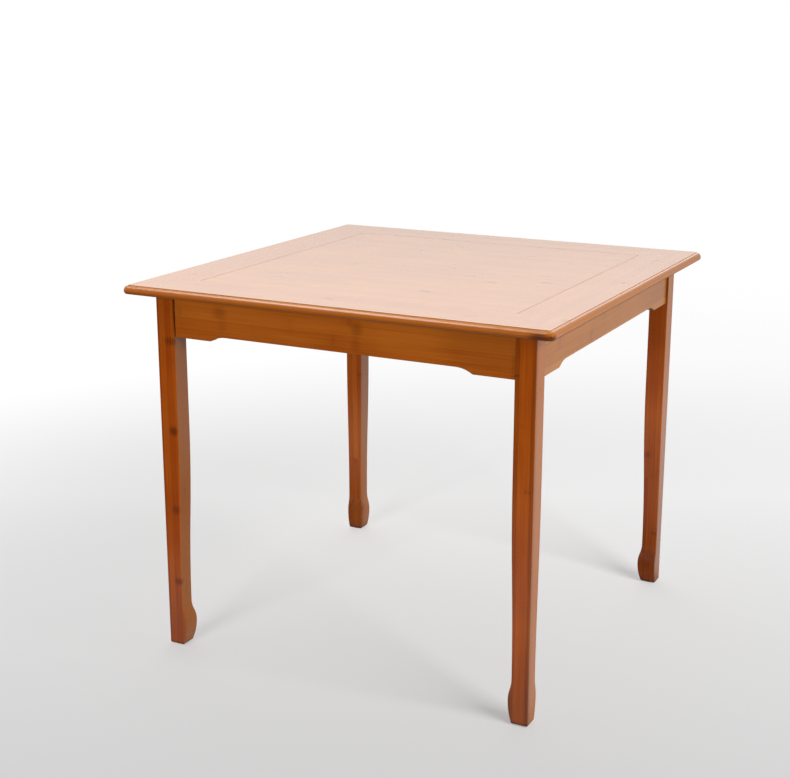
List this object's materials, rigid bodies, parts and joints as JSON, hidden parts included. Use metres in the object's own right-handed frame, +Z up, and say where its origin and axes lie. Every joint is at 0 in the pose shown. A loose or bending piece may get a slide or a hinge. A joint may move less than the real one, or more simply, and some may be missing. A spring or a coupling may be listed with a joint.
{
  "type": "dining table",
  "caption": "Square bamboo dining table: mitred frame-and-panel top with a moulded edge, aprons with coved end brackets, and legs tapering to hoof feet.",
  "frame": {"origin": "on the floor, under the centre of the top", "axes": "+Z up, +X to the right along the front edge, +Y from the front to the rear"},
  "size_m": [0.88, 0.88, 0.75],
  "materials": {
    "bamboo_panel": "satin lacquer",
    "bamboo_frame": "satin lacquer",
    "bamboo_leg": "satin lacquer",
    "bamboo_apron": "satin lacquer",
    "bamboo_core": "bare",
    "zinc_steel": "zinc plated",
    "nylon": "moulded"
  },
  "bodies": {
    "root": {"angle_screws": "zinc_steel", "apron_dowels": "bamboo_core", "apron_front": "bamboo_apron", "apron_left": "bamboo_apron", "apron_rear": "bamboo_apron", "apron_right": "bamboo_apron", "corner_plate_front_left": "zinc_steel", "corner_plate_front_right": "zinc_steel", "corner_plate_rear_left": "zinc_steel", "corner_plate_rear_right": "zinc_steel", "foot_glide_front_left": "nylon", "foot_glide_front_right": "nylon", "foot_glide_rear_left": "nylon", "foot_glide_rear_right": "nylon", "hanger_bolts": "zinc_steel", "hanger_nuts": "zinc_steel", "hanger_washers": "zinc_steel", "leg_front_left": "bamboo_leg", "leg_front_right": "bamboo_leg", "leg_rear_left": "bamboo_leg", "leg_rear_right": "bamboo_leg", "mitre_spline_front_left": "bamboo_core", "mitre_spline_front_right": "bamboo_core", "mitre_spline_rear_left": "bamboo_core", "mitre_spline_rear_right": "bamboo_core", "plate_screws": "zinc_steel", "top_angle_front_left": "zinc_steel", "top_angle_front_right": "zinc_steel", "top_angle_left_front": "zinc_steel", "top_angle_left_rear": "zinc_steel", "top_angle_rear_left": "zinc_steel", "top_angle_rear_right": "zinc_steel", "top_angle_right_front": "zinc_steel", "top_angle_right_rear": "zinc_steel", "top_frame_front": "bamboo_frame", "top_frame_left": "bamboo_frame", "top_frame_rear": "bamboo_frame", "top_frame_right": "bamboo_frame", "top_panel": "bamboo_panel"}
  },
  "joints": []
}
